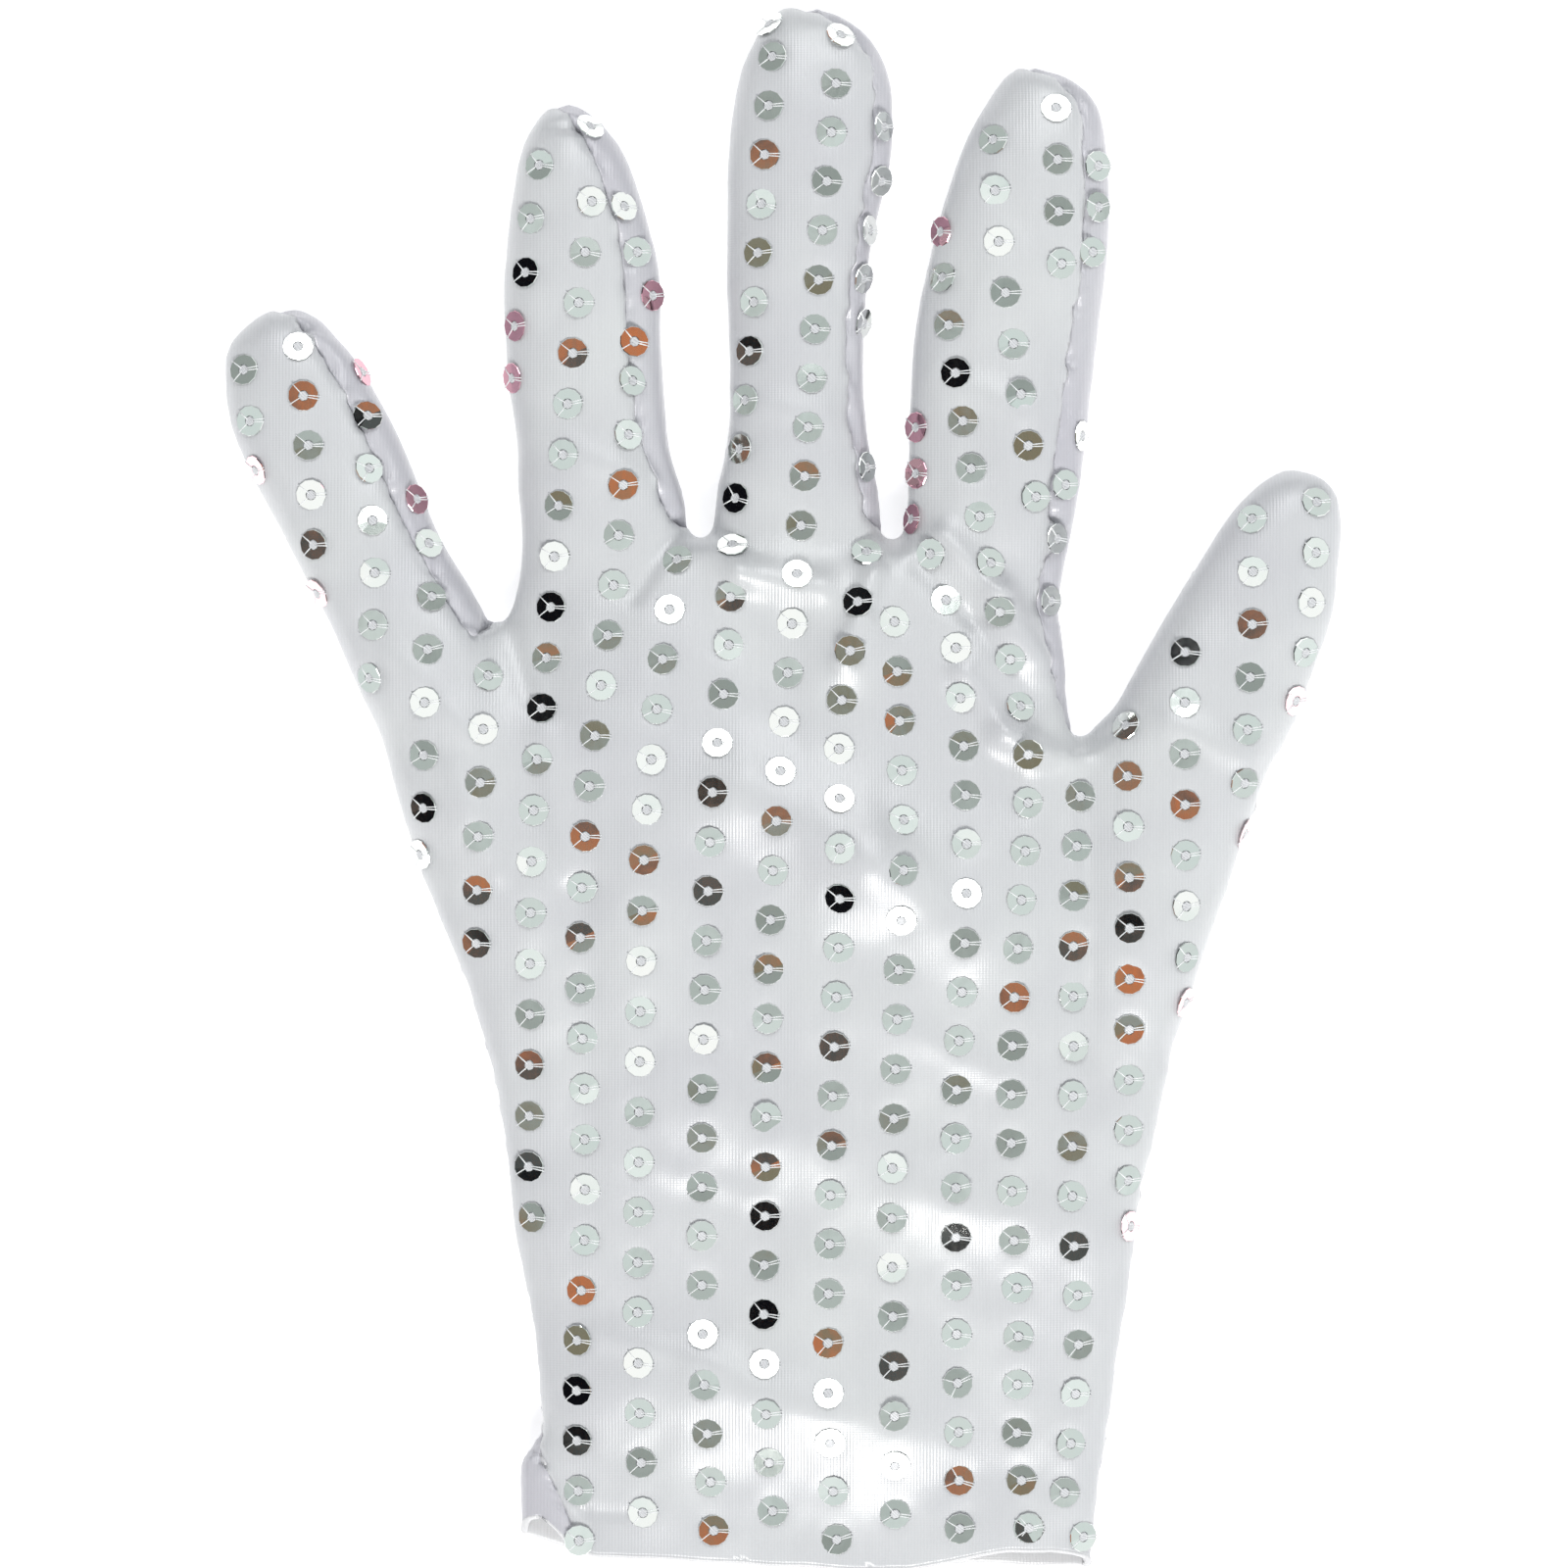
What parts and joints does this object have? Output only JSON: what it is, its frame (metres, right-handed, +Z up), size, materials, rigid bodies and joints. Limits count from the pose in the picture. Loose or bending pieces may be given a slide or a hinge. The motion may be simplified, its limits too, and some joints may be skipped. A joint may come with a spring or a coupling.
{
  "type": "sequin glove",
  "caption": "Sewn knit dress glove lying flat with spread fingers and an open cuff, covered in lengthwise rows of round flat sequins.",
  "frame": {"origin": "centre of the footprint of the lying glove, on the surface it lies on", "axes": "+Y from the cuff to the fingertips, +X from the little finger to the thumb, +Z up, from the back panel to the front panel"},
  "size_m": [0.1792, 0.25, 0.0199],
  "materials": {
    "satin_knit": "white satin warp knit with fine lengthwise wales and a soft sheen",
    "satin_hem": "the same white satin knit, folded double and pressed",
    "silver_sequin": "silver metallised film sequins, mirror bright, sewn on with clear thread"
  },
  "bodies": {
    "root": {"front_panel": "satin_knit", "back_panel": "satin_knit", "front_cuff_hem": "satin_hem", "back_cuff_hem": "satin_hem", "sequin_row_pinky_left": "silver_sequin", "sequin_row_pinky_middle": "silver_sequin", "sequin_row_pinky_right": "silver_sequin", "sequin_row_pinky_base": "silver_sequin", "sequin_row_palm_edge": "silver_sequin", "sequin_row_ring_left": "silver_sequin", "sequin_row_ring_middle": "silver_sequin", "sequin_row_ring_right": "silver_sequin", "sequin_row_ring_inner": "silver_sequin", "sequin_row_middle_left": "silver_sequin", "sequin_row_middle_right": "silver_sequin", "sequin_row_middle_edge": "silver_sequin", "sequin_row_index_edge": "silver_sequin", "sequin_row_index_inner": "silver_sequin", "sequin_row_index_left": "silver_sequin", "sequin_row_index_middle": "silver_sequin", "sequin_row_index_right": "silver_sequin", "sequin_row_thumb_side": "silver_sequin", "sequin_row_thumb_base": "silver_sequin", "sequin_row_thumb_left": "silver_sequin", "sequin_row_thumb_middle": "silver_sequin", "sequin_row_thumb_right": "silver_sequin"}
  },
  "joints": []
}
